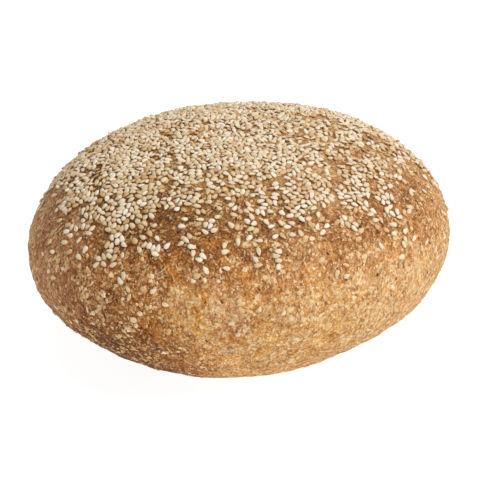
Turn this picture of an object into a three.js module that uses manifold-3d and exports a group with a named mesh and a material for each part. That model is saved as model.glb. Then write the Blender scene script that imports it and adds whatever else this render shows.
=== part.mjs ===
// A round-ended sourdough loaf, baked on a flat hearth, with sesame seeds stuck to its crown.
// Millimetres, +Z up. The origin is the middle of the flat base, and the loaf's long axis lies along X.
import * as THREE from "three";
import { mergeVertices } from "three/addons/utils/BufferGeometryUtils.js";
import Module from "manifold-3d";

// The loaf's overall size, without its seeds.
const LENGTH = 210;
const WIDTH = 193;
const HEIGHT = 109;

// The widest line runs round the belly. Above it the crown is a little fuller than an ellipse,
// and below it the underside is leaner and would reach further down if the hearth didn't flatten it.
const BELLY_HEIGHT = 50;
const UNDERSIDE_DEPTH = 62.5;
const CROWN_FULLNESS = 2.2;
const UNDERSIDE_FULLNESS = 1.78;
const BASE_EDGE_ROUNDING = 6;
const CROWN_LEAN = 6.5;

// Low swells and hollows left by hand shaping, one at each point of an even spiral over the loaf.
const SWELL_COUNT = 46;
const SWELL_REACH = 0.24;
const SWELL_HEIGHT = 1.3;
const SWELL_PHASE = 1.4;

// Rows of facets along each side of the cube that is blown up into the crust.
const CRUST_ROWS = 16;

// Sesame seeds: pointed ovals lying flat on the crust, sunk to just under half of their thickness.
const SEED_COUNT = 205;
const SEED_LENGTH = 3.5;
const SEED_WIDTH = 2.3;
const SEED_THICKNESS = 1.3;
const SEED_SINK = 0.15;
const SEED_POINT = 0.35;
const SEED_SIDES = 6;
const SEED_RINGS = 3;

// The seeded cap leans a little to the back left, and thins out towards its edge.
const SEEDED_ANGLE = THREE.MathUtils.degToRad(73);
const SEEDED_SPREAD = 0.58;
const SEEDED_AXIS = new THREE.Vector3(-0.02, 0.16, 1).normalize();

const GOLDEN_ANGLE = Math.PI * (3 - Math.sqrt(5));
const CRUST_COLOUR = 0xb8793f;

const wasm = await Module();
wasm.setup();

// A unit direction on an even spiral that starts at the top; share runs from 0 at the top to 1 at the bottom.
function spiralDirection(index, share) {
  const z = 1 - 2 * share;
  const ring = Math.sqrt(1 - z * z);
  const turn = index * GOLDEN_ANGLE;
  return new THREE.Vector3(ring * Math.cos(turn), ring * Math.sin(turn), z);
}

const swells = Array.from({ length: SWELL_COUNT }, (_, i) => ({
  centre: spiralDirection(i, (i + 0.5) / SWELL_COUNT),
  height: SWELL_HEIGHT * Math.sin(SWELL_PHASE * i * i),
}));

// The sum of the swells at a direction, each a smooth bell.
function swellAt(direction) {
  return swells.reduce((sum, swell) => {
    const away = direction.distanceToSquared(swell.centre);
    return sum + swell.height * Math.exp(-away / (2 * SWELL_REACH ** 2));
  }, 0);
}

// The larger of value and floor, with the corner between them rounded over the given span.
function roundedFloor(value, floor, span) {
  const near = Math.max(span - Math.abs(value - floor), 0) / span;
  return Math.max(value, floor) + (near * near * span) / 4;
}

// The point of the crust in a direction from the middle of the belly.
function crustPoint(direction) {
  const { x, y, z } = direction;
  const crown = z >= 0;
  const fullness = crown ? CROWN_FULLNESS : UNDERSIDE_FULLNESS;
  const across = Math.hypot(x, y);
  const reach = (across ** fullness + Math.abs(z) ** fullness) ** (-1 / fullness);
  const swell = swellAt(direction);
  const rise = crown ? HEIGHT - BELLY_HEIGHT : UNDERSIDE_DEPTH;
  const raw = BELLY_HEIGHT + (rise + swell) * reach * z;
  const height = roundedFloor(raw, 0, BASE_EDGE_ROUNDING);
  const lean = (CROWN_LEAN * (height - BELLY_HEIGHT)) / HEIGHT;
  return new THREE.Vector3(
    (LENGTH / 2 + swell) * reach * x + lean,
    (WIDTH / 2 + swell) * reach * y,
    height,
  );
}

// The crust's outward normal in a direction, from two neighbouring points.
function crustNormal(direction) {
  const step = 0.02;
  const side = new THREE.Vector3(0, 1, 0).cross(direction).normalize();
  const up = direction.clone().cross(side);
  const slope = (along) => {
    const ahead = direction.clone().addScaledVector(along, step).normalize();
    const behind = direction.clone().addScaledVector(along, -step).normalize();
    return crustPoint(ahead).sub(crustPoint(behind));
  };
  return slope(side).cross(slope(up)).normalize();
}

// A closed geometry as a solid that can be joined.
function solidOf(geometry) {
  const bare = geometry.clone().deleteAttribute("normal").deleteAttribute("uv");
  const merged = mergeVertices(bare);
  return new wasm.Manifold(
    new wasm.Mesh({
      numProp: 3,
      vertProperties: merged.attributes.position.array,
      triVerts: new Uint32Array(merged.index.array),
    }),
  );
}

// A solid as a geometry that can be shown.
function geometryOf(solid) {
  const { vertProperties, triVerts } = solid.getMesh();
  const geometry = new THREE.BufferGeometry()
    .setAttribute("position", new THREE.BufferAttribute(vertProperties, 3))
    .setIndex(new THREE.BufferAttribute(triVerts, 1));
  geometry.computeVertexNormals();
  return geometry;
}

// The bare crust: a gridded cube whose points are spread to even angles and moved out to the crust.
function makeCrust() {
  const geometry = new THREE.BoxGeometry(2, 2, 2, CRUST_ROWS, CRUST_ROWS, CRUST_ROWS);
  const position = geometry.attributes.position;
  const point = new THREE.Vector3();
  const even = (value) => Math.tan((value * Math.PI) / 4);
  for (let i = 0; i < position.count; i++) {
    point.fromBufferAttribute(position, i);
    const direction = new THREE.Vector3(even(point.x), even(point.y), even(point.z)).normalize();
    position.setXYZ(i, ...crustPoint(direction));
  }
  return solidOf(geometry);
}

// One seed in its own frame: length along Y with the point at +Y, flat side up.
function makeSeedGeometry() {
  const geometry = new THREE.SphereGeometry(0.5, SEED_SIDES, SEED_RINGS);
  const position = geometry.attributes.position;
  for (let i = 0; i < position.count; i++) {
    const along = position.getY(i);
    const slim = 1 - SEED_POINT * (along + 0.5);
    position.setX(i, position.getX(i) * slim * SEED_WIDTH);
    position.setY(i, along * SEED_LENGTH);
    position.setZ(i, position.getZ(i) * slim * SEED_THICKNESS);
  }
  return geometry;
}

// The seeds, on a spiral round the seeded cap's axis, each turned by its place in the spiral.
function makeSeeds() {
  const geometry = makeSeedGeometry();
  const toCap = new THREE.Quaternion().setFromUnitVectors(new THREE.Vector3(0, 0, 1), SEEDED_AXIS);
  return Array.from({ length: SEED_COUNT }, (_, i) => {
    const polar = SEEDED_ANGLE * ((i + 0.5) / SEED_COUNT) ** SEEDED_SPREAD;
    const direction = spiralDirection(i, (1 - Math.cos(polar)) / 2).applyQuaternion(toCap);
    const normal = crustNormal(direction);
    const lying = new THREE.Quaternion().setFromUnitVectors(new THREE.Vector3(0, 0, 1), normal);
    const turn = new THREE.Quaternion().setFromAxisAngle(normal, i * i * GOLDEN_ANGLE);
    const place = crustPoint(direction).addScaledVector(normal, SEED_SINK * SEED_THICKNESS);
    const matrix = new THREE.Matrix4().compose(place, turn.multiply(lying), new THREE.Vector3(1, 1, 1));
    return solidOf(geometry.clone().applyMatrix4(matrix));
  });
}

const loafSolid = makeSeeds().reduce((loaf, seed) => loaf.add(seed), makeCrust());
const loafGeometry = geometryOf(loafSolid);
loafGeometry.computeBoundingBox();
const middle = loafGeometry.boundingBox.getCenter(new THREE.Vector3());
loafGeometry.translate(-middle.x, -middle.y, -loafGeometry.boundingBox.min.z);

const loaf = new THREE.Mesh(
  loafGeometry,
  new THREE.MeshStandardMaterial({ color: CRUST_COLOUR, roughness: 0.85, metalness: 0 }),
);
loaf.name = "loaf";

const part = new THREE.Group();
part.add(loaf);

export default part;
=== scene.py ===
import bpy
import numpy as np
from mathutils.bvhtree import BVHTree
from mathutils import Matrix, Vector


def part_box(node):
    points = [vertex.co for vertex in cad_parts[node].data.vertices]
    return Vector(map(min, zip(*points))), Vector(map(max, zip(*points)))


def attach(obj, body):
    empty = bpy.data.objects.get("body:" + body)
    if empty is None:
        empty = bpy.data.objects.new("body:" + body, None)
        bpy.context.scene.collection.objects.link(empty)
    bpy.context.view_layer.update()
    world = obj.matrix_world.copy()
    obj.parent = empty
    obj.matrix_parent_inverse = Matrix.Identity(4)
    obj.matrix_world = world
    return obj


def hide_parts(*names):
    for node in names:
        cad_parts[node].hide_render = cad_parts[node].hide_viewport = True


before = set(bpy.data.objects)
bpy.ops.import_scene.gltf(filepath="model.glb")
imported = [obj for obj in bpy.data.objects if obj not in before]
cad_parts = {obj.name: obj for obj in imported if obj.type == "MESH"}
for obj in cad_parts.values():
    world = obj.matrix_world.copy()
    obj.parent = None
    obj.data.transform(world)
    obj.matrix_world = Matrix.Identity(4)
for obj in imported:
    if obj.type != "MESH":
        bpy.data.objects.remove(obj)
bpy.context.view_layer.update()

# The crust: one skin of whole-grain dough, shaped by hand, raised by its own steam and browned on a hearth.
# It is dry and matte, blistered and finely cracked all over, and flat only underneath, where it stood.
MM = 0.001
CRUST_LENGTH = 210 * MM
CRUST_WIDTH = 193 * MM
CRUST_HEIGHT = 109 * MM
BELLY_HEIGHT = 50 * MM
UNDERSIDE_DEPTH = 62.5 * MM
CROWN_FULLNESS = 2.2
UNDERSIDE_FULLNESS = 1.78
BASE_EDGE_ROUNDING = 6 * MM
CROWN_LEAN = 6.5 * MM
SWELL_COUNT = 46
SWELL_REACH = 0.24
SWELL_HEIGHT = 1.3 * MM
SWELL_PHASE = 1.4
SEED_STAND = 0.9 * MM
CRUST_ROWS = 128
# Each grain of the relief is as wide as its first number and as high as its second.
CRUST_RELIEF = ((16 * MM, 0.45 * MM), (7 * MM, 0.38 * MM), (3.2 * MM, 0.42 * MM))
CRUST_SUNK = 0.55 * MM
# Odd numbers that stir the place of a cell's corner into a random number, and steps that shift its bits.
# Cells are counted from a thousand, so that no place is below zero.
FIRST_CELL = 1000
CORNER_STIRS = np.array([73856093, 19349663, 83492791], dtype=np.uint64)
DRAW_STIR = 7919
FIRST_STIR = np.uint64(2654435761)
FIRST_SHIFT = np.uint64(15)
SECOND_STIR = np.uint64(2246822519)
SECOND_SHIFT = np.uint64(13)
LOW_BITS = np.uint64(0xFFFFFFFF)
HALF_RANGE = 2**31


def unit(vectors):
    """Each row of vectors at length one: divided by its own length."""
    return vectors / np.linalg.norm(vectors, axis=1, keepdims=True)


def spiral_directions(count):
    """Unit directions on an even spiral from the top to the bottom: equal steps of height, and turns by the
    golden angle."""
    index = np.arange(count)
    height = 1 - 2 * (index + 0.5) / count
    ring = np.sqrt(1 - height**2)
    turn = index * np.pi * (3 - np.sqrt(5))
    return np.stack([ring * np.cos(turn), ring * np.sin(turn), height], axis=1)


def crust_shape(directions):
    """The smooth crust in each direction from the middle of the belly: a fuller half-egg above and a leaner
    one below, plus bell-shaped swells. A rounded floor cuts the underside flat, and the crown leans
    along X."""
    x, y, z = directions.T
    crown = z >= 0
    fullness = np.where(crown, CROWN_FULLNESS, UNDERSIDE_FULLNESS)
    reach = (np.hypot(x, y) ** fullness + np.abs(z) ** fullness) ** (-1 / fullness)
    swell_heights = SWELL_HEIGHT * np.sin(SWELL_PHASE * np.arange(SWELL_COUNT) ** 2)
    closeness = directions @ spiral_directions(SWELL_COUNT).T
    swell = np.exp((closeness - 1) / SWELL_REACH**2) @ swell_heights
    rise = np.where(crown, CRUST_HEIGHT - BELLY_HEIGHT, UNDERSIDE_DEPTH)
    raw = BELLY_HEIGHT + (rise + swell) * reach * z
    near_floor = np.clip(1 - np.abs(raw) / BASE_EDGE_ROUNDING, 0, None)
    height = np.maximum(raw, 0) + near_floor**2 * BASE_EDGE_ROUNDING / 4
    lean = CROWN_LEAN * (height - BELLY_HEIGHT) / CRUST_HEIGHT
    across = (CRUST_LENGTH / 2 + swell) * reach * x + lean
    along = (CRUST_WIDTH / 2 + swell) * reach * y
    return np.stack([across, along, height], axis=1)


def cube_skin(rows):
    """An even grid over the six sides of a cube: its points as whole numbers from 0 to rows, each once,
    and its squares as four point numbers, wound outwards."""
    first, second = np.meshgrid(np.arange(rows + 1), np.arange(rows + 1), indexing="ij")
    number = np.arange((rows + 1) ** 2).reshape(rows + 1, rows + 1)
    corners = [number[:-1, :-1], number[1:, :-1], number[1:, 1:], number[:-1, 1:]]
    square = np.stack(corners, axis=-1).reshape(-1, 4)
    sides, squares = [], []
    for axis in range(3):
        for level, winding in ((rows, 1), (0, -1)):
            side = np.stack([np.full(first.size, level), first.ravel(), second.ravel()], axis=1)
            squares.append(square[:, ::winding] + first.size * len(sides))
            sides.append(np.roll(side, axis, axis=1))
    points, place = np.unique(np.concatenate(sides), axis=0, return_inverse=True)
    return points, place.ravel()[np.concatenate(squares)]


def square_normals(points, squares):
    """Each square's outward normal, as long as its area: half the cross product of its diagonals."""
    corners = points[squares]
    return np.cross(corners[:, 2] - corners[:, 0], corners[:, 3] - corners[:, 1]) / 2


def point_normals(points, squares):
    """Each point's unit normal: the sum of the normals of the squares that meet there."""
    wide = np.repeat(square_normals(points, squares), 4, axis=0)
    corner = squares.ravel()
    return unit(np.stack([np.bincount(corner, wide[:, i], len(points)) for i in range(3)], axis=1))


def mottle(points, size, draw_number):
    """Smooth random heights from -1 to 1: a random number at each corner of cubes of the given size,
    carried from corner to corner by an eased blend."""
    cells = points / size + FIRST_CELL
    corner = np.floor(cells)
    part = cells - corner
    ease = part * part * (3 - 2 * part)
    total = np.zeros(len(points))
    for step in np.ndindex(2, 2, 2):
        x, y, z = ((corner + step).astype(np.uint64) * CORNER_STIRS).T
        mixed = (x ^ y ^ z) + np.uint64(draw_number * DRAW_STIR)
        mixed = mixed * FIRST_STIR & LOW_BITS
        mixed = (mixed ^ (mixed >> FIRST_SHIFT)) * SECOND_STIR & LOW_BITS
        value = (mixed ^ (mixed >> SECOND_SHIFT)) / HALF_RANGE - 1
        total += value * np.prod(np.where(step, ease, 1 - ease), axis=1)
    return total


def put_mesh(name, points, *faces):
    """A new smooth object from an array of points and arrays of faces, of three or four corners each."""
    mesh = bpy.data.meshes.new(name)
    sides = np.concatenate([np.full(len(group), group.shape[1]) for group in faces])
    corners = np.concatenate([group.ravel() for group in faces])
    mesh.vertices.add(len(points))
    mesh.vertices.foreach_set("co", points.astype(np.float32).ravel())
    mesh.loops.add(len(corners))
    mesh.loops.foreach_set("vertex_index", corners.astype(np.int32))
    mesh.polygons.add(len(sides))
    mesh.polygons.foreach_set("loop_start", (np.cumsum(sides) - sides).astype(np.int32))
    mesh.update(calc_edges=True)
    mesh.validate()
    mesh.shade_smooth()
    piece = bpy.data.objects.new(name, mesh)
    bpy.context.collection.objects.link(piece)
    return piece


def paint(red, green, blue):
    """A colour given as it looks on a screen, 0 to 255, as the light it gives back, by the sRGB curve."""
    shown = np.array([red, green, blue]) / 255
    light = np.where(shown <= 0.04045, shown / 12.92, ((shown + 0.055) / 1.055) ** 2.4)
    return (*light, 1.0)


def new_finish(name):
    """A material with its node tree and its shader."""
    finish = bpy.data.materials.new(name)
    finish.use_nodes = True
    return finish, finish.node_tree, finish.node_tree.nodes["Principled BSDF"]


def fill_inputs(tree, node, inputs):
    """Gives each named input of a node a value or another node's output."""
    for key, value in inputs.items():
        if isinstance(value, bpy.types.NodeSocket):
            tree.links.new(value, node.inputs[key])
        else:
            node.inputs[key].default_value = value


def add_node(tree, kind, inputs, **settings):
    """A shader node with its settings and inputs."""
    made = tree.nodes.new(kind)
    for key, value in settings.items():
        setattr(made, key, value)
    fill_inputs(tree, made, inputs)
    return made


def object_place(tree):
    """Each point's place in the piece's own axes."""
    return add_node(tree, "ShaderNodeTexCoord", {}).outputs["Object"]


def reckon(tree, operation, *values, clamp=False):
    """The result of a sum on numbers, each a value or an output."""
    inputs = dict(enumerate(values))
    return add_node(tree, "ShaderNodeMath", inputs, operation=operation, use_clamp=clamp).outputs[0]


def reckon_vector(tree, operation, first, second):
    """The result of a sum on two vectors: a number for a distance or a dot product, or else a vector."""
    made = add_node(tree, "ShaderNodeVectorMath", {0: first, 1: second}, operation=operation)
    return made.outputs["Value" if operation in ("DISTANCE", "DOT_PRODUCT") else "Vector"]


def sway(tree, amount, strength, onto, clamp=False):
    """Adds to a value an amount's swing about its middle, one half, times a strength."""
    swing = reckon(tree, "SUBTRACT", amount, 0.5)
    return reckon(tree, "MULTIPLY_ADD", swing, strength, onto, clamp=clamp)


def speckle(tree, place, size, detail=3.0, roughness=0.6, distortion=0.0):
    """Shader noise whose grains are about the given size across."""
    inputs = {"Vector": place, "Scale": 1 / size, "Detail": detail}
    inputs |= {"Roughness": roughness, "Distortion": distortion}
    return add_node(tree, "ShaderNodeTexNoise", inputs).outputs["Fac"]


def wavy_cells(tree, place, ruffle, size, wobble):
    """Cells of about the given size with wavy edges: how far a point is from its cell's middle, and two
    random numbers for each cell."""
    shift_inputs = {0: ruffle, "Scale": size * wobble}
    shift = add_node(tree, "ShaderNodeVectorMath", shift_inputs, operation="SCALE").outputs["Vector"]
    wavy = reckon_vector(tree, "ADD", place, shift)
    cells = add_node(tree, "ShaderNodeTexVoronoi", {"Vector": wavy, "Scale": 1 / size}).outputs
    chance = add_node(tree, "ShaderNodeSeparateColor", {"Color": cells["Color"]}).outputs
    return cells["Distance"], chance["Red"], chance["Green"]


def between(tree, amount, low, high, to_low=0.0, to_high=1.0):
    """An amount brought from the range low to high into another range, eased at both ends."""
    inputs = {"Value": amount, "From Min": low, "From Max": high, "To Min": to_low, "To Max": to_high}
    return add_node(tree, "ShaderNodeMapRange", inputs, interpolation_type="SMOOTHSTEP").outputs["Result"]


def zone(tree, *fades):
    """Where several fades hold at once: each brings an amount between its limits, and they multiply."""
    share, *others = [between(tree, amount, *limits) for amount, limits in fades]
    for other in others:
        share = reckon(tree, "MULTIPLY", share, other)
    return share


def blend_paint(tree, amount, under, over, how="MIX"):
    """One colour laid over another by an amount. The node's colour sockets go by number."""
    inputs = {0: amount, 6: under, 7: over}
    return add_node(tree, "ShaderNodeMix", inputs, data_type="RGBA", blend_type=how).outputs[2]


def paint_ramp(tree, amount, *stops):
    """A colour that runs through the given stops, each a position and a colour, as the amount grows."""
    ramp = add_node(tree, "ShaderNodeValToRGB", {"Fac": amount})
    marks = ramp.color_ramp.elements
    while len(marks) < len(stops):
        marks.new(0.5)
    for mark, (position, colour) in zip(marks, stops):
        mark.position = position
        mark.color = colour
    return ramp.outputs["Color"]


def dents(tree, height, strength, distance):
    """Normals tipped by the slopes of a height, of which one stands for the given distance."""
    inputs = {"Strength": strength, "Distance": distance, "Height": height}
    return add_node(tree, "ShaderNodeBump", inputs).outputs["Normal"]


lattice, crust_squares = cube_skin(CRUST_ROWS)
even = np.tan((2 * lattice / CRUST_ROWS - 1) * np.pi / 4)
smooth_crust = crust_shape(unit(even))
loaf_low, loaf_high = (np.array(corner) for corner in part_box("loaf"))
crust_size = loaf_high - loaf_low - np.array([0, 0, SEED_STAND])
crust_low = smooth_crust.min(axis=0)
smooth_crust = loaf_low + (smooth_crust - crust_low) * crust_size / (smooth_crust.max(axis=0) - crust_low)

# The relief dies away on the flat underside, so that the loaf stands level.
standing = np.clip(smooth_crust[:, 2] / BASE_EDGE_ROUNDING, 0, 1)
relief = sum(high * mottle(smooth_crust, wide, number) for number, (wide, high) in enumerate(CRUST_RELIEF))
relief = (relief - CRUST_SUNK) * standing
crust_points = smooth_crust + relief[:, None] * point_normals(smooth_crust, crust_squares)
crust_normals = point_normals(crust_points, crust_squares)
crust = put_mesh("crust", crust_points, crust_squares)

# The skin's looks change with a place's height and with how far it lies to the right. Each fade below runs
# along such a measure from its first number to its second, while its amount goes from its third to its
# fourth, or from none to all.
SKIN_RIGHT = np.array([0.834, -0.552, 0.0])
crust_finish, tree, shader = new_finish("crust_baked")
place = object_place(tree)
up = add_node(tree, "ShaderNodeSeparateXYZ", {"Vector": place}).outputs["Z"]
rightward = reckon_vector(tree, "DOT_PRODUCT", place, SKIN_RIGHT)

# The skin was drawn upwards from the lower edge as the loaf rose, so its grain is narrower there.
DRAWN_IN = (0.0, 45 * MM, 1.5, 1.0)
DRAWN_UP = 0.85
RUFFLE_SIZE = 1.6 * MM
RUFFLE_DETAIL = 2.0
RUFFLE_MIDDLE = (0.5, 0.5, 0.5)
drawn_in = between(tree, up, *DRAWN_IN)
drawn_inputs = {"X": drawn_in, "Y": drawn_in, "Z": DRAWN_UP}
drawn = add_node(tree, "ShaderNodeCombineXYZ", drawn_inputs).outputs["Vector"]
drawn_place = reckon_vector(tree, "MULTIPLY", place, drawn)
ruffle_inputs = {"Vector": drawn_place, "Scale": 1 / RUFFLE_SIZE, "Detail": RUFFLE_DETAIL}
ruffle = add_node(tree, "ShaderNodeTexNoise", ruffle_inputs).outputs["Color"]
ruffle = reckon_vector(tree, "SUBTRACT", ruffle, RUFFLE_MIDDLE)

# The grain, from coarse to fine. The cells have a size and a share of it by which their edges waver.
PATCH_SIZE = 24 * MM
BLOTCH_SIZE = 7 * MM
GRAIN_SIZE = 1.8 * MM
MEAL_GRAIN_SIZE = 0.8 * MM
MEAL_CELLS = (1.0 * MM, 0.6)
HUSK_CELLS = (1.8 * MM, 1.2)
patches = speckle(tree, place, PATCH_SIZE)
blotches = speckle(tree, drawn_place, BLOTCH_SIZE, detail=4, roughness=0.65, distortion=0.8)
grains = speckle(tree, drawn_place, GRAIN_SIZE, distortion=0.5)
meal_grain = speckle(tree, drawn_place, MEAL_GRAIN_SIZE, detail=2)
meal_gap, meal_tone, meal_stand = wavy_cells(tree, drawn_place, ruffle, *MEAL_CELLS)
husk_gap, husk_tone, husk_chance = wavy_cells(tree, drawn_place, ruffle, *HUSK_CELLS)

# The oven browned the shoulder all round, and the left side from top to bottom.
LEFT_BROWN = (-52 * MM, 0.0, 0.6, 0.33)
LEFT_END_BROWN = (-90 * MM, -60 * MM, -0.14, 0.0)
RIGHT_END_BROWN = (0.0, 90 * MM, 0.0, -0.1)
TOP_BROWN = (90 * MM, 104 * MM, 0.0, -0.2)
SHOULDER_HEIGHT = (50 * MM, 88 * MM, 0.0, 0.3)
SHOULDER_SIDE = (-70 * MM, -10 * MM, 0.55, 1.0)
LOWER_LEFT_HEIGHT = (18 * MM, 58 * MM, 1.0, 0.0)
LOWER_LEFT_SIDE = (-55 * MM, 0.0, 0.4, 0.0)
# Along the low left edge the skin is darkened by painted shade, which also keeps the pale flecks out.
LEFT_EDGE_SHADE_HEIGHT = (6 * MM, 24 * MM, 1.0, 0.0)
LEFT_EDGE_SHADE_SIDE = (-50 * MM, 0.0, 0.45, 0.0)
LEFT_EDGE_SHADE = 0.35
RIGHT_DUSK = (45 * MM, 80 * MM, 0.0, 0.35)
# Where the oven caught the skin more or less than round about: a place on the crust and a reach,
# in millimetres, and the changes in browning and in duskiness.
SKIN_PATCHES = (
    ((0, -63, 95), 28, -0.13, 0.0),
    ((55, -55, 90), 38, -0.16, 0.0),
    ((-24, -85, 77), 22, -0.12, 0.6),
    ((-70, -70, 55), 26, -0.12, 0.0),
    ((-93, -34, 30), 26, 0.12, 0.5),
    ((-91, -7, 80), 26, -0.1, 0.0),
    ((-64, -54, 8), 30, 0.12, 0.5),
    ((-90, 36, 72), 36, -0.2, 0.2),
    ((-100, 0, 50), 30, -0.06, 0.2),
    ((50, -73, 78), 30, 0.13, 0.0),
)
# Painted shade along the low left edge, with the oven's browning added to it.
left_edge_shade = zone(tree, (up, LEFT_EDGE_SHADE_HEIGHT), (rightward, LEFT_EDGE_SHADE_SIDE))
browning_and_edge_shade = reckon(tree, "MULTIPLY", left_edge_shade, LEFT_EDGE_SHADE)
for fades in (
    [(rightward, LEFT_BROWN)],
    [(rightward, LEFT_END_BROWN)],
    [(rightward, RIGHT_END_BROWN)],
    [(up, TOP_BROWN)],
    [(up, SHOULDER_HEIGHT), (rightward, SHOULDER_SIDE)],
    [(up, LOWER_LEFT_HEIGHT), (rightward, LOWER_LEFT_SIDE)],
):
    browning_and_edge_shade = reckon(tree, "ADD", browning_and_edge_shade, zone(tree, *fades))
dusk = between(tree, rightward, *RIGHT_DUSK)
for centre, reach, browner, duskier in SKIN_PATCHES:
    away = reckon_vector(tree, "DISTANCE", place, np.array(centre) * MM)
    browning_and_edge_shade = reckon(tree, "ADD", browning_and_edge_shade, between(tree, away, 0.0, reach * MM, browner, 0.0))
    dusk = reckon(tree, "ADD", dusk, between(tree, away, 0.0, reach * MM, duskier, 0.0))
for grain, strength in ((patches, 0.34), (blotches, 0.52)):
    browning_and_edge_shade = sway(tree, grain, strength, browning_and_edge_shade)

# The paint by how far the skin browned, and by the painted shade of the low left edge, from the palest to
# the darkest, with the fine grain swaying it.
SKIN_PAINTS = (
    (0.0, paint(246, 218, 176)),
    (0.14, paint(235, 194, 140)),
    (0.29, paint(220, 169, 112)),
    (0.44, paint(203, 145, 87)),
    (0.6, paint(178, 118, 66)),
    (0.76, paint(149, 95, 53)),
    (0.9, paint(122, 77, 44)),
    (1.0, paint(96, 60, 36)),
)
toning = browning_and_edge_shade
for grain, strength in ((grains, -0.72), (meal_grain, -1.0), (meal_tone, 0.3), (husk_tone, 0.2)):
    toning = sway(tree, grain, strength, toning)
skin = paint_ramp(tree, toning, *SKIN_PAINTS)

# Amber spots, where the crust caramelised.
AMBER_TINT = (1.07, 0.98, 0.64, 1.0)
AMBER_SIZE = 9 * MM
AMBER_SPOT = (0.42, 0.6)
AMBER_SIDE = (-30 * MM, 20 * MM, 1.0, 0.6)
AMBER_HEIGHT = (70 * MM, 90 * MM, 1.0, 0.3)
amber_spots = speckle(tree, drawn_place, AMBER_SIZE, distortion=0.8)
amber = zone(tree, (amber_spots, AMBER_SPOT), (rightward, AMBER_SIDE), (up, AMBER_HEIGHT))
skin = blend_paint(tree, amber, skin, AMBER_TINT, "MULTIPLY")

# Dusky and rosy places, less yellow than the rest of the skin.
DUSK_PAINTS = (
    (0.0, paint(242, 212, 178)),
    (0.3, paint(216, 164, 124)),
    (0.6, paint(168, 116, 84)),
    (0.8, paint(132, 87, 62)),
    (1.0, paint(90, 58, 42)),
)
LEFT_DUSK = (-92 * MM, -30 * MM, 0.85, 0.0)
PATCH_DUSK = (0.55, 0.66, 0.0, 0.6)
ROSY_SIDE = (-10 * MM, 30 * MM, 0.0, 0.45)
ROSY_HEIGHT = (50 * MM, 90 * MM)
BLUSH_SIZE = 8 * MM
BLUSH_SPOT = (0.53, 0.64, 0.0, 0.75)
BLUSH_HEIGHT = (40 * MM, 65 * MM)
blush_spots = speckle(tree, place, BLUSH_SIZE, distortion=0.6)
for fades in (
    [(rightward, LEFT_DUSK)],
    [(patches, PATCH_DUSK)],
    [(rightward, ROSY_SIDE), (up, ROSY_HEIGHT)],
    [(blush_spots, BLUSH_SPOT), (up, BLUSH_HEIGHT)],
):
    dusk = reckon(tree, "MAXIMUM", dusk, zone(tree, *fades))
skin = blend_paint(tree, dusk, skin, paint_ramp(tree, toning, *DUSK_PAINTS))

# High on the crown, among the seeds, painted shade makes the skin darker and less red, less so on the lit
# right side. Between the meal grains painted shade darkens and warms the crevices.
SEED_SHADE_TINT = (0.82, 0.92, 0.96, 1.0)
SEED_SHADE_HEIGHT = (65 * MM, 95 * MM)
SEED_SHADE_SIDE = (0.0, 50 * MM, 1.0, 0.5)
CREVICE_SHADE_TINT = (0.9, 0.78, 0.58, 1.0)
CREVICE_SHADE_GAP = (0.35, 0.7)
seed_shade = zone(tree, (up, SEED_SHADE_HEIGHT), (rightward, SEED_SHADE_SIDE))
skin = blend_paint(tree, seed_shade, skin, SEED_SHADE_TINT, "MULTIPLY")
# Painted shade in the crevices between the meal grains.
skin = blend_paint(tree, between(tree, meal_gap, *CREVICE_SHADE_GAP), skin, CREVICE_SHADE_TINT, "MULTIPLY")

# Flecks of bran show pale in the skin, some as ragged patches and some as single scales.
FLECK_PAINTS = (
    (0.25, paint(247, 220, 174)),
    (0.5, paint(239, 207, 156)),
    (0.8, paint(228, 190, 138)),
)
FLECK_SIZE = 3.2 * MM
FLECK_CLUMP_SIZE = 12 * MM
FLECK_CLUMP_SWAY = 0.25
FLECK_SPOT = (0.58, 0.64)
FLECK_SIDE = (-60 * MM, 10 * MM, 0.7, 0.95)
SCALE_EDGE = (0.34, 0.46, 1.0, 0.0)
SCALE_CHANCE = (0.78, 0.82)
ragged_spots = speckle(tree, drawn_place, FLECK_SIZE, detail=4, roughness=0.65, distortion=1.0)
ragged_spots = sway(tree, speckle(tree, place, FLECK_CLUMP_SIZE), FLECK_CLUMP_SWAY, ragged_spots)
scales = zone(tree, (husk_gap, SCALE_EDGE), (husk_chance, SCALE_CHANCE))
flecks = reckon(tree, "MAXIMUM", between(tree, ragged_spots, *FLECK_SPOT), scales)
# The flecks fade out in the painted shade along the low left edge.
fleck_share = reckon(tree, "SUBTRACT", between(tree, rightward, *FLECK_SIDE), left_edge_shade)
flecks = reckon(tree, "MULTIPLY", flecks, fleck_share)
skin = blend_paint(tree, flecks, skin, paint_ramp(tree, browning_and_edge_shade, *FLECK_PAINTS))

# Fine cracks, with pits where bubbles burst and a few grains of flour.
CRACK_DARK = paint(92, 52, 24)
CRACK_SIZE = 3.6 * MM
CRACK_EDGE = (0.0, 0.06, 1.0, 0.0)
CRACK_BLOTCH = (0.42, 0.56)
CRACK_HEIGHT = (8 * MM, 45 * MM, 0.6, 0.3)
PIT_DARK = paint(74, 44, 26)
PIT_CELLS = (3 * MM, 0.6)
PIT_EDGE = (0.06, 0.26, 1.0, 0.0)
PIT_CHANCE = (0.8, 0.82)
FLOUR_WHITE = paint(246, 232, 208)
FLOUR_EDGE = (0.1, 0.2, 1.0, 0.0)
FLOUR_CHANCE = (0.03, 0.04, 1.0, 0.0)
wrinkles = speckle(tree, drawn_place, CRACK_SIZE, distortion=0.6)
from_crack = reckon(tree, "ABSOLUTE", reckon(tree, "SUBTRACT", wrinkles, 0.5))
cracks = zone(tree, (from_crack, CRACK_EDGE), (blotches, CRACK_BLOTCH))
crack_share = reckon(tree, "MULTIPLY", cracks, between(tree, up, *CRACK_HEIGHT))
skin = blend_paint(tree, crack_share, skin, CRACK_DARK)
pit_gap, pit_chance = wavy_cells(tree, drawn_place, ruffle, *PIT_CELLS)[:2]
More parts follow.
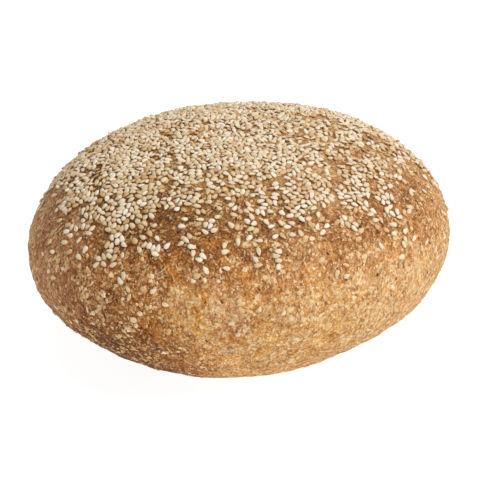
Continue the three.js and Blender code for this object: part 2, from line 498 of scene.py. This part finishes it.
pits = zone(tree, (pit_gap, PIT_EDGE), (pit_chance, PIT_CHANCE))
skin = blend_paint(tree, pits, skin, PIT_DARK)
flour = zone(tree, (husk_gap, FLOUR_EDGE), (husk_chance, FLOUR_CHANCE))
skin = blend_paint(tree, flour, skin, FLOUR_WHITE)

# Each mark of the skin stands as high as its number says, in millimetres, or lies as deep.
LUMP_SIZE = 2 * MM
FLECK_SWELL = (0.52, 0.7)
SKIN_DENTS = (1.0, MM)
skin_height = 0.0
for mark, stand in (
    (meal_gap, -0.22),
    (meal_stand, 0.08),
    (speckle(tree, drawn_place, LUMP_SIZE), 0.75),
    (blotches, 0.6),
    (between(tree, ragged_spots, *FLECK_SWELL), 0.25),
    (scales, 0.08),
    (cracks, -0.12),
    (pits, -0.6),
):
    skin_height = reckon(tree, "MULTIPLY_ADD", mark, stand, skin_height)
skin_inputs = {
    "Base Color": skin,
    "Roughness": 0.75,
    "Specular IOR Level": 0.1,
    "Normal": dents(tree, skin_height, *SKIN_DENTS),
}
fill_inputs(tree, shader, skin_inputs)
crust.data.materials.append(crust_finish)
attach(crust, "root")
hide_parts("loaf")

# Bran flakes: thin ragged scraps of husk and rolled grain, kneaded into the dough, that lie in its skin.
# They are lighter than the crust round them, a little raised, and baked fast to it.
FLAKE_COUNT = 3900
FLAKE_DRAW = 11
FLAKE_LENGTH = (1.5 * MM, 5.4 * MM)
FLAKE_SHAPE = (0.4, 0.85)
FLAKE_THICKNESS = (0.6 * MM, 1.0 * MM)
FLAKE_SIDES = 7
# Each ring round a flake is a share of its rim, at a share of its thickness.
FLAKE_RINGS = ((0.62, 0.45), (1.0, 0.0))
FLAKE_RAGGED = 0.45
FLAKE_SINK = 0.22
FLAKE_TILT = 0.22
# How thick the flakes lie: an even share, the strength of the clumps, and heights with their shares.
FLAKE_SPREAD = (0.3, 1.2, ((55 * MM, 85 * MM), (1.0, 0.35)))
FLAKE_LOWER_LEFT = 0.8
MEAL_CLUMP_SIZE = 9 * MM
MEAL_CLUMP_DRAW = 21
MEAL_LEAST = 0.1
# Each pair of rows is a measure, upwards or to the right, and the amounts that go with it.
LOW_BARE = ((14 * MM, 36 * MM), (0.9, 0.0))
LEFT_BARE = ((-50 * MM, 0.0), (1.0, 0.3))
LOW_SHARE = ((20 * MM, 55 * MM), (1, 0))
LEFT_SHARE = ((-55 * MM, 0.0), (1, 0))
# A flake's tone is its darkest, plus a random rise and what its length adds, less what its place takes.
FLAKE_TONE = 0.2
FLAKE_TONE_RISE = 0.6
TONE_SKEW = 1.8
FLAKE_TONE_LENGTH = 0.4
FLAKE_TONE_SIDE = ((-70 * MM, 10 * MM), (0.1, 0.0))
LOWER_LEFT_TONE = 0.2
# Things that lie on the crust are turned from square to this direction.
CROSSWISE = np.array([0.31, 0.95, 0.05])


def scatter(draw, count, weights):
    """Places strewn over the crust: squares drawn by weight, and a random point in each, with its normal."""
    chosen = crust_squares[draw.choice(len(crust_squares), count, p=weights / weights.sum())]
    u, v = draw.random((2, count, 1))
    shares = np.stack([(1 - u) * (1 - v), u * (1 - v), u * v, (1 - u) * v], axis=1)
    return (crust_points[chosen] * shares).sum(axis=1), unit((crust_normals[chosen] * shares).sum(axis=1))


def lower_left_share(points):
    """How far each point lies towards the well-browned lower left, from 0 to 1: its height's share times
    its side's."""
    return np.interp(points[:, 2], *LOW_SHARE) * np.interp(points @ SKIN_RIGHT, *LEFT_SHARE)


def meal_weights(evenness, clumping, by_height):
    """How thick meal lies on each square of the crust: its area, times an even share with clumps, times its
    height's share, less towards the low left edge, and none underneath."""
    heights = square_middles[:, 2]
    clumps = evenness + clumping * mottle(square_middles, MEAL_CLUMP_SIZE, MEAL_CLUMP_DRAW)
    bare = np.interp(heights, *LOW_BARE) * np.interp(square_middles @ SKIN_RIGHT, *LEFT_BARE)
    weights = crust_areas * np.clip(clumps, MEAL_LEAST, None) * np.interp(heights, *by_height) * (1 - bare)
    return np.where(heights < BASE_EDGE_ROUNDING, 0, weights)


def scrap_sizes(draw, count, length, shape, thickness):
    """Each scrap's length, from a squared draw, so that most are short, its width, a share of that length,
    and its thickness."""
    long = length[0] + np.ptp(length) * draw.random(count) ** 2
    wide = long * draw.uniform(*shape, count)
    thick = draw.uniform(*thickness, count)
    return np.stack([long, wide, thick], axis=1)


def scrap_shapes(draw, sizes, sides, ragged, rings):
    """Scraps of the given sizes: a top point, rings of corners, each a share of the rim at a share of the
    thickness, and a bottom point. Each corner of the rim falls short by a random part."""
    angle = np.arange(sides) * 2 * np.pi / sides
    reach = 1 - ragged * draw.random((len(sizes), sides))
    rim = np.stack([np.cos(angle) * reach / 2, np.sin(angle) * reach / 2, 0 * reach], axis=2)
    top = np.tile([[0, 0, 0.5]], (len(sizes), 1, 1))
    circles = [rim * share + np.array([0, 0, rise]) for share, rise in rings]
    return np.concatenate([top, *circles, -top], axis=1) * sizes[:, None, :]


def ring_faces(rings, sides):
    """Faces over points in the order pole, rings, pole: triangles round the poles, squares between."""
    number = 1 + np.arange(rings * sides).reshape(rings, sides)
    beside = np.roll(number, -1, axis=1)
    first_fan = np.stack([0 * number[0], number[0], beside[0]], axis=1)
    last_fan = np.stack([0 * number[0] + rings * sides + 1, beside[-1], number[-1]], axis=1)
    squares = np.stack([number[:-1], number[1:], beside[1:], beside[:-1]], axis=-1).reshape(-1, 4)
    return np.concatenate([first_fan, last_fan]), squares


def lying_axes(normals, turns):
    """Three axes for each thing that lies on the crust: along it and across it, turned round the normal,
    and out."""
    side = unit(np.cross(CROSSWISE, normals))
    other = np.cross(normals, side)
    cos, sin = np.cos(turns)[:, None], np.sin(turns)[:, None]
    return np.stack([cos * side + sin * other, cos * other - sin * side, normals], axis=1)


def tip_up(axes, tilts):
    """Axes that are tipped by two angles: first the far end lifts along the length, then one side lifts
    across it."""
    along, across, out = axes[:, 0], axes[:, 1], axes[:, 2]
    cos, sin = np.cos(tilts)[:, :, None], np.sin(tilts)[:, :, None]
    along, out = cos[0] * along + sin[0] * out, cos[0] * out - sin[0] * along
    across, out = cos[1] * across + sin[1] * out, cos[1] * out - sin[1] * across
    return np.stack([along, across, out], axis=1)


def put_copies(name, shapes, axes, seats, faces):
    """One mesh of many like things: each thing's points times its axes, plus its seat, with one thing's
    faces repeated for each."""
    count, points_each = shapes.shape[:2]
    points = (shapes @ axes + seats[:, None, :]).reshape(-1, 3)
    first_point = points_each * np.arange(count)[:, None, None]
    return put_mesh(name, points, *[(group + first_point).reshape(-1, group.shape[1]) for group in faces])


def note(piece, name, values):
    """A number for each point of a piece, for its material to read."""
    piece.data.attributes.new(name, "FLOAT", "POINT").data.foreach_set("value", values.astype(np.float32))


def read_note(tree, name):
    """The numbers that were noted on a piece."""
    return add_node(tree, "ShaderNodeAttribute", {}, attribute_name=name).outputs["Fac"]


crust_areas = np.linalg.norm(square_normals(crust_points, crust_squares), axis=1)
square_middles = crust_points[crust_squares].mean(axis=1)
flake_draw = np.random.default_rng(FLAKE_DRAW)
flake_weights = meal_weights(*FLAKE_SPREAD) * (1 + FLAKE_LOWER_LEFT * lower_left_share(square_middles))
flake_centres, flake_normals = scatter(flake_draw, FLAKE_COUNT, flake_weights)
flake_sizes = scrap_sizes(flake_draw, FLAKE_COUNT, FLAKE_LENGTH, FLAKE_SHAPE, FLAKE_THICKNESS)
flake_shapes = scrap_shapes(flake_draw, flake_sizes, FLAKE_SIDES, FLAKE_RAGGED, FLAKE_RINGS)
flake_axes = lying_axes(flake_normals, flake_draw.uniform(0, 2 * np.pi, FLAKE_COUNT))
flake_axes = tip_up(flake_axes, flake_draw.normal(0, FLAKE_TILT, (2, FLAKE_COUNT)))
flake_seats = flake_centres - flake_normals * (flake_sizes[:, 2:] * FLAKE_SINK)
flake_faces = ring_faces(len(FLAKE_RINGS), FLAKE_SIDES)
flakes = put_copies("bran_flakes", flake_shapes, flake_axes, flake_seats, flake_faces)
flake_tones = FLAKE_TONE + FLAKE_TONE_RISE * flake_draw.random(FLAKE_COUNT) ** TONE_SKEW
flake_tones += FLAKE_TONE_LENGTH * (flake_sizes[:, 0] - FLAKE_LENGTH[0]) / np.ptp(FLAKE_LENGTH)
flake_tones -= np.interp(flake_centres @ SKIN_RIGHT, *FLAKE_TONE_SIDE)
flake_tones -= lower_left_share(flake_centres) * LOWER_LEFT_TONE
note(flakes, "tone", np.repeat(flake_tones, flake_shapes.shape[1]))

HUSK_PAINTS = (
    (0.0, paint(184, 132, 76)),
    (0.35, paint(215, 170, 114)),
    (0.7, paint(236, 204, 154)),
    (0.94, paint(241, 216, 174)),
    (1.0, paint(244, 226, 194)),
)
HUSK_GRAIN_SIZE = 0.8 * MM
HUSK_GRAIN_SWAY = 0.8
HUSK_DENTS = (0.8, 0.3 * MM)
husk_finish, tree, shader = new_finish("bran_husk")
husk_grain = speckle(tree, object_place(tree), HUSK_GRAIN_SIZE)
husk_tone = sway(tree, husk_grain, HUSK_GRAIN_SWAY, read_note(tree, "tone"), clamp=True)
husk_inputs = {
    "Base Color": paint_ramp(tree, husk_tone, *HUSK_PAINTS),
    "Roughness": 0.8,
    "Specular IOR Level": 0.1,
    "Subsurface Weight": 0.2,
    "Subsurface Radius": (1.0, 0.8, 0.6),
    "Subsurface Scale": 0.5 * MM,
    "Normal": dents(tree, husk_grain, *HUSK_DENTS),
}
fill_inputs(tree, shader, husk_inputs)
flakes.data.materials.append(husk_finish)
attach(flakes, "root")

# Bran crumbs: fine broken husk and meal, as small as a millimetre, that roughen the whole skin.
# They were in the flour, and stand out of the crust where it dried round them.
CRUMB_COUNT = 10000
CRUMB_DRAW = 23
CRUMB_LENGTH = (0.8 * MM, 2.4 * MM)
CRUMB_SHAPE = (0.35, 0.8)
CRUMB_THICKNESS = (0.4 * MM, 0.7 * MM)
CRUMB_SIDES = 5
CRUMB_RINGS = ((1.0, 0.0),)
CRUMB_RAGGED = 0.5
CRUMB_TILT = 0.35
CRUMB_SPREAD = (0.35, 1.1, ((60 * MM, 95 * MM), (1.0, 0.25)))
CRUMB_TONE = 0.2
CRUMB_TONE_RISE = 0.8
CRUMB_TONE_SIDE = ((-80 * MM, 20 * MM), (0.2, 0.0))

crumb_draw = np.random.default_rng(CRUMB_DRAW)
crumb_centres, crumb_normals = scatter(crumb_draw, CRUMB_COUNT, meal_weights(*CRUMB_SPREAD))
crumb_sizes = scrap_sizes(crumb_draw, CRUMB_COUNT, CRUMB_LENGTH, CRUMB_SHAPE, CRUMB_THICKNESS)
crumb_shapes = scrap_shapes(crumb_draw, crumb_sizes, CRUMB_SIDES, CRUMB_RAGGED, CRUMB_RINGS)
crumb_axes = lying_axes(crumb_normals, crumb_draw.uniform(0, 2 * np.pi, CRUMB_COUNT))
crumb_axes = tip_up(crumb_axes, crumb_draw.normal(0, CRUMB_TILT, (2, CRUMB_COUNT)))
crumb_faces = ring_faces(len(CRUMB_RINGS), CRUMB_SIDES)
crumbs = put_copies("bran_crumbs", crumb_shapes, crumb_axes, crumb_centres, crumb_faces)
crumb_tones = CRUMB_TONE + CRUMB_TONE_RISE * crumb_draw.random(CRUMB_COUNT) ** TONE_SKEW
crumb_tones -= np.interp(crumb_centres @ SKIN_RIGHT, *CRUMB_TONE_SIDE)
crumb_tones -= lower_left_share(crumb_centres) * LOWER_LEFT_TONE
note(crumbs, "tone", np.repeat(crumb_tones, crumb_shapes.shape[1]))
crumbs.data.materials.append(husk_finish)
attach(crumbs, "root")

# Sesame seeds: hulled, flat, drop-shaped, rolled onto the damp crown before baking and stuck by the dough.
# They lie side by side on the crown, thick as cobbles, and thin out down the sides to a few strays.
SEED_LENGTH = (3.3 * MM, 4.1 * MM)
SEED_WIDTH = (2.15 * MM, 2.55 * MM)
SEED_THICKNESS = (1.2 * MM, 1.5 * MM)
SEED_LIFT = 0.38
SEED_FLATNESS = 0.6
SEED_POINT = (0.4, 0.68)
SEED_FULLNESS = 1.3
SEED_SIDES = 10
SEED_RINGS = 4
SEED_AREA = 6.0 * MM**2
SEED_DRAW = 7
# The seeds were pressed on about this axis. Their cover goes by the crust's angle to it, in degrees.
SEEDED_AXIS = np.array([0.25, 0.48, 1.0])
SEEDED_COVER = (
    (0, 20, 35, 45, 55, 65, 75, 85, 95),
    (0.89, 0.89, 0.88, 0.74, 0.5, 0.28, 0.13, 0.02, 0.0),
)
# Seeds that lie close lean on one another and tip more than strays do: those angles, and tips in radians.
SEED_TILT = ((35, 60), (0.36, 0.16))
# The far edge of the seeds is as ragged as the near one.
SKIN_FAR = np.array([0.552, 0.834, 0.0])
FAR_SHARE = ((0.0, 50 * MM), (0.0, 1.0))
FAR_RAGGED = 14
FAR_RAG_SIZE = 16 * MM
FAR_RAG_DRAW = 61
# Where the seeds fell thicker or thinner: a turn round the loaf and a tilt from its top, then how far the
# handful reaches, all in degrees, and the cover it adds or leaves out.
SEED_HANDFULS = (
    (-163, 65, 6, 0.25),
    (178, 66, 6, 0.15),
    (-177, 74, 4, 0.08),
    (-162, 73, 5, 0.1),
    (152, 78, 7, -0.4),
    (166, 79, 6, -0.4),
    (177, 82, 5, -0.3),
    (-148, 71, 5, 0.05),
    (-112, 60, 6, 0.08),
    (-85, 62, 6, 0.06),
    (-142, 60, 7, -0.25),
    (-94, 64, 4, -0.2),
    (-72, 45, 4, -0.45),
    (-56, 66, 6, -0.12),
    (-146, 33, 2, -0.4),
    (-117, 48, 2, -0.4),
    (-104, 47, 3, -0.4),
    (-4, 34, 6, -0.75),
    (96, 51, 5, -0.4),
    (-40, 56, 12, -0.22),
    (-48, 68, 8, -0.22),
    (-30, 66, 9, -0.3),
    (-84, 50, 6, -0.2),
    (-136, 42, 5, 0.2),
    (-95, 77, 7, 0.05),
    (-46, 76, 6, 0.08),
    (-70, 77, 6, 0.1),
    (-122, 76, 3, 0.1),
    (-134, 77, 3, 0.1),
)
SEED_CLUMP_SIZE = 10 * MM
SEED_CLUMP_DRAW = 31
SEED_CLUMPING = 0.22
SEED_LEAST = 0.05
BARE_PATCH_SIZE = 8 * MM
BARE_PATCH_DRAW = 41
BARE_PATCH_COVER = ((-0.8, -0.45), (0.6, 1.0))
# Each seed slides off its neighbours as two round lobes, each a share of its length from its middle.
LOBE_REACH = 0.19
LOBE_RADIUS = 1.1 * MM
JOSTLE_ROUNDS = 40
JOSTLE_SHARE = 0.22
JOSTLE_NEAR = 6 * MM
JOSTLE_BATCH = 500
# Kinds of seed by how far the oven coloured them: their darkest, middle and palest paints, and shares.
SEED_PAINTS = {
    "seeds_ivory": (paint(228, 208, 178), paint(236, 219, 192), paint(242, 228, 206)),
    "seeds_buff": (paint(217, 191, 150), paint(227, 205, 169), paint(235, 217, 186)),
    "seeds_toasted": (paint(199, 159, 108), paint(213, 178, 131), paint(224, 196, 153)),
}
SEED_SHARES = (0.43, 0.37, 0.2)
KIND_CLUMP_SIZE = 9 * MM
KIND_CLUMP_DRAW = 51
KIND_CLUMPING = 0.22
# Towards the left, shaded side more seeds are of the darker kinds: partly the harder bake there, partly
# painted warm shade.
KIND_SHADE_SIDE = ((-90 * MM, -30 * MM), (0.16, 0.0))
HULL_STOPS = (0.0, 0.4, 1.0)
HULL_GRAIN_SIZE = 1.1 * MM
HULL_GRAIN_SWAY = 0.4
HULL_DENTS = (0.35, 0.15 * MM)
TIP_BROWN = paint(176, 124, 70)
TIP_FADE = (0.8, 1.0, 0.0, 0.45)
# Round the lower flank, a brown that is partly real browning and partly painted shade.
FLANK_BROWN_AND_SHADE = paint(172, 120, 68)
FLANK_SHADE_FADE = (-0.3, 0.12, 0.6, 0.0)


def seeded_angle(normals):
    """Each normal's angle to the seeded axis, in degrees: the arc whose cosine is their dot product."""
    return np.degrees(np.arccos(np.clip(normals @ SEEDED_AXIS / np.linalg.norm(SEEDED_AXIS), -1, 1)))


def gather(numbers, values, count):
    """The sum of the values that belong to each number."""
    return np.stack([np.bincount(numbers, column, count) for column in values.T], axis=1)


def jostle(centres, axes, lengths):
    """Seeds that fell on one another slide apart along the crust: in every round, lobes that meet push their
    seeds back by a share of the overlap, and an uneven push turns a seed."""
    count = len(centres)
    pairs = []
    for start in range(0, count, JOSTLE_BATCH):
        apart = np.linalg.norm(centres[start:start + JOSTLE_BATCH, None] - centres, axis=2)
        near = np.argwhere(apart < JOSTLE_NEAR) + (start, 0)
        pairs.append(near[near[:, 0] < near[:, 1]])
    one, two = np.concatenate(pairs).T
    reach = LOBE_REACH * lengths[:, None]
    along, across, out = axes.transpose(1, 0, 2)
    for _ in range(JOSTLE_ROUNDS):
        moves = np.zeros_like(centres)
        turns = np.zeros(count)
        for end, other in ((-1, -1), (-1, 1), (1, -1), (1, 1)):
            gap = (centres + end * reach * along)[one] - (centres + other * reach * along)[two]
            apart = np.linalg.norm(gap, axis=1)
            push = gap * (JOSTLE_SHARE * np.clip(2 * LOBE_RADIUS - apart, 0, None) / apart)[:, None]
            on_one = gather(one, push, count)
            on_two = gather(two, -push, count)
            moves += on_one + on_two
            turns += ((end * on_one + other * on_two) * across / reach).sum(axis=1) / 2
        centres = centres + moves - (moves * out).sum(axis=1, keepdims=True) * out
        cos, sin = np.cos(turns)[:, None], np.sin(turns)[:, None]
        along, across = cos * along + sin * across, cos * across - sin * along
    return centres, np.stack([along, across, out], axis=1)


def seed_shape():
    """One seed in a unit box: rings along its length, as wide as a half sine, with a pole at each end.
    A ring is an ellipse with its sine raised to a power, which flattens the two faces."""
    share = np.arange(1, SEED_RINGS + 1) / (SEED_RINGS + 1)
    girth = np.sin(np.pi * share) / 2
    turn = np.arange(SEED_SIDES) * 2 * np.pi / SEED_SIDES
    rise = np.sign(np.sin(turn)) * np.abs(np.sin(turn)) ** SEED_FLATNESS
    length = np.repeat(-np.cos(np.pi * share) / 2, SEED_SIDES)
    width = np.outer(girth, np.cos(turn)).ravel()
    thickness = np.outer(girth, rise).ravel()
    body = np.stack([length, width, thickness], axis=1)
    return np.concatenate([[[-0.5, 0, 0]], body, [[0.5, 0, 0]]])


angles = seeded_angle(square_normals(crust_points, crust_squares) / crust_areas[:, None])
farness = np.interp(square_middles @ SKIN_FAR, *FAR_SHARE)
angles += FAR_RAGGED * farness * mottle(square_middles, FAR_RAG_SIZE, FAR_RAG_DRAW)
cover = np.interp(angles, *SEEDED_COVER)
from_belly = unit(square_middles - np.array([0, 0, BELLY_HEIGHT]))
for handful in SEED_HANDFULS:
    turn, tilt, reach = np.radians(handful[:3])
    middle = np.array([np.sin(tilt) * np.cos(turn), np.sin(tilt) * np.sin(turn), np.cos(tilt)])
    cover += handful[3] * np.exp((from_belly @ middle - 1) / reach**2)
clumps = 1 + SEED_CLUMPING * mottle(square_middles, SEED_CLUMP_SIZE, SEED_CLUMP_DRAW)
cover = np.clip(cover, 0, None) * np.clip(clumps, SEED_LEAST, None)
cover *= np.interp(mottle(square_middles, BARE_PATCH_SIZE, BARE_PATCH_DRAW), *BARE_PATCH_COVER)

seed_draw = np.random.default_rng(SEED_DRAW)
seed_count = int((crust_areas * cover).sum() / SEED_AREA)
seed_centres, seed_normals = scatter(seed_draw, seed_count, crust_areas * cover)
seed_spans = (SEED_LENGTH, SEED_WIDTH, SEED_THICKNESS)
seed_sizes = np.stack([seed_draw.uniform(*span, seed_count) for span in seed_spans], axis=1)
seed_axes = lying_axes(seed_normals, seed_draw.uniform(0, 2 * np.pi, seed_count))
seed_centres, seed_axes = jostle(seed_centres, seed_axes, seed_sizes[:, 0])
crust_tree = BVHTree.FromPolygons(crust_points.tolist(), crust_squares.tolist())
seed_centres = np.array([crust_tree.find_nearest(centre)[0] for centre in seed_centres.tolist()])
seed_tilts = np.interp(seeded_angle(seed_normals), *SEED_TILT)
seed_axes = tip_up(seed_axes, seed_draw.normal(0, 1, (2, seed_count)) * seed_tilts)
seed_seats = seed_centres + seed_normals * (SEED_LIFT * seed_sizes[:, 2:])
seed_points = seed_draw.uniform(*SEED_POINT, seed_count)
seed_tones = seed_draw.random(seed_count)
kind_clumps = KIND_CLUMPING * mottle(seed_centres, KIND_CLUMP_SIZE, KIND_CLUMP_DRAW)
kind_chance = seed_draw.random(seed_count) + kind_clumps
# Seeds on the shaded left lean to the darker kinds, partly as painted warm shade.
kind_chance += np.interp(seed_centres @ SKIN_RIGHT, *KIND_SHADE_SIDE)
seed_kinds = np.searchsorted(np.cumsum(SEED_SHARES)[:-1], kind_chance)

unit_seed = seed_shape()
seed_faces = ring_faces(SEED_RINGS, SEED_SIDES)
for number, (kind, hull_paints) in enumerate(SEED_PAINTS.items()):
    chosen = np.flatnonzero(seed_kinds == number)
    shapes = np.tile(unit_seed, (len(chosen), 1, 1))
    slim = 1 - seed_points[chosen, None, None] * (shapes[:, :, :1] + 0.5)
    shapes[:, :, 1:] *= slim * SEED_FULLNESS
    shapes *= seed_sizes[chosen, None, :]
    seeds = put_copies(kind, shapes, seed_axes[chosen], seed_seats[chosen], seed_faces)
    note(seeds, "tone", np.repeat(seed_tones[chosen], len(unit_seed)))
    note(seeds, "tip", np.tile(unit_seed[:, 0] + 0.5, len(chosen)))
    note(seeds, "stand", np.tile(unit_seed[:, 2], len(chosen)))

    # The hull is browned at its tip. Round its lower flank, where it met the crust, it is browned and also
    # darkened by painted shade.
    hull_finish, tree, shader = new_finish(kind + "_hulled")
    hull_grain = speckle(tree, object_place(tree), HULL_GRAIN_SIZE, detail=2)
    hull_tone = sway(tree, hull_grain, HULL_GRAIN_SWAY, read_note(tree, "tone"), clamp=True)
    hull = paint_ramp(tree, hull_tone, *zip(HULL_STOPS, hull_paints))
    hull = blend_paint(tree, between(tree, read_note(tree, "tip"), *TIP_FADE), hull, TIP_BROWN)
    hull = blend_paint(tree, between(tree, read_note(tree, "stand"), *FLANK_SHADE_FADE), hull, FLANK_BROWN_AND_SHADE)
    hull_inputs = {
        "Base Color": hull,
        "Roughness": 0.55,
        "Specular IOR Level": 0.18,
        "Subsurface Weight": 0.25,
        "Subsurface Radius": (1.0, 0.72, 0.45),
        "Subsurface Scale": 0.7 * MM,
        "Normal": dents(tree, hull_grain, *HULL_DENTS),
    }
    fill_inputs(tree, shader, hull_inputs)
    seeds.data.materials.append(hull_finish)
    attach(seeds, "root")

# The floor: a plain white sheet that the loaf stands on, wide enough to fill the view from any side.
# It gives off light of its own, so that it shows an even white, and an even light stands all round it.
FLOOR_HALF = 4.0
FLOOR_GREY = (0.25, 0.25, 0.25, 1)
FLOOR_GLOW = 0.94
SKY_STRENGTH = 0.27
WHITE = (1, 1, 1, 1)
floor_corners = FLOOR_HALF * np.array([[-1, -1, 0], [1, -1, 0], [1, 1, 0], [-1, 1, 0]])
floor = put_mesh("floor", floor_corners, np.array([[0, 1, 2, 3]]))
floor_finish, tree, shader = new_finish("floor_white")
floor_inputs = {"Base Color": FLOOR_GREY, "Roughness": 0.9}
floor_inputs |= {"Emission Color": WHITE, "Emission Strength": FLOOR_GLOW}
fill_inputs(tree, shader, floor_inputs)
floor.data.materials.append(floor_finish)
world = bpy.data.worlds.new("even_light")
world.use_nodes = True
sky_inputs = {"Color": WHITE, "Strength": SKY_STRENGTH}
fill_inputs(world.node_tree, world.node_tree.nodes["Background"], sky_inputs)
bpy.context.scene.world = world

# The camera: it stands most of a metre away, in front of the loaf and to its left, and looks a little down.
# Its long lens keeps the loaf's near and far sides nearly alike in scale.
CAMERA_TURN = np.radians(-33.5)
CAMERA_RISE = np.radians(22)
CAMERA_AWAY = 0.85
CAMERA_LENS = 130.5
CAMERA_SENSOR = 36
CAMERA_AIM = (0.6 * MM, 48.9 * MM)
right = np.array([np.cos(CAMERA_TURN), np.sin(CAMERA_TURN), 0])
front = np.array([np.sin(CAMERA_TURN), -np.cos(CAMERA_TURN), 0])
toward = front * np.cos(CAMERA_RISE) + np.array([0, 0, np.sin(CAMERA_RISE)])
aim = right * CAMERA_AIM[0] + np.array([0, 0, CAMERA_AIM[1]])


def turn_to(thing, spot, target):
    """Sets a camera or lamp at a spot so that it faces the target, with its top kept upwards."""
    outward = (spot - target) / np.linalg.norm(spot - target)
    side = np.cross([0, 0, 1], outward)
    side /= np.linalg.norm(side)
    facing = np.eye(4)
    facing[:3, :] = np.stack([side, np.cross(outward, side), outward, spot], axis=1)
    thing.matrix_world = facing.T


camera_data = bpy.data.cameras.new("camera")
camera_data.sensor_width = CAMERA_SENSOR
camera_data.lens = CAMERA_LENS
camera = bpy.data.objects.new("camera", camera_data)
bpy.context.collection.objects.link(camera)
turn_to(camera, aim + toward * CAMERA_AWAY, aim)
bpy.context.scene.camera = camera

# The lamps: a soft round one at the right, which models the loaf and its seeds, and a weaker one overhead.
# Each has its place to the right, to the front and up, in metres, then its width and its power in watts.
LAMPS = {
    "right_lamp": (0.85, 0.55, 0.95, 0.4, 10.2),
    "top_lamp": (-0.1, 0.15, 1.3, 0.6, 5.4),
}
for name, (to_right, to_front, high, size, power) in LAMPS.items():
    lamp_data = bpy.data.lights.new(name, "AREA")
    lamp_data.shape = "DISK"
    lamp_data.size = size
    lamp_data.energy = power
    lamp = bpy.data.objects.new(name, lamp_data)
    bpy.context.collection.objects.link(lamp)
    turn_to(lamp, to_right * right + to_front * front + np.array([0, 0, high]), aim)
bpy.context.scene.view_settings.view_transform = "Standard"
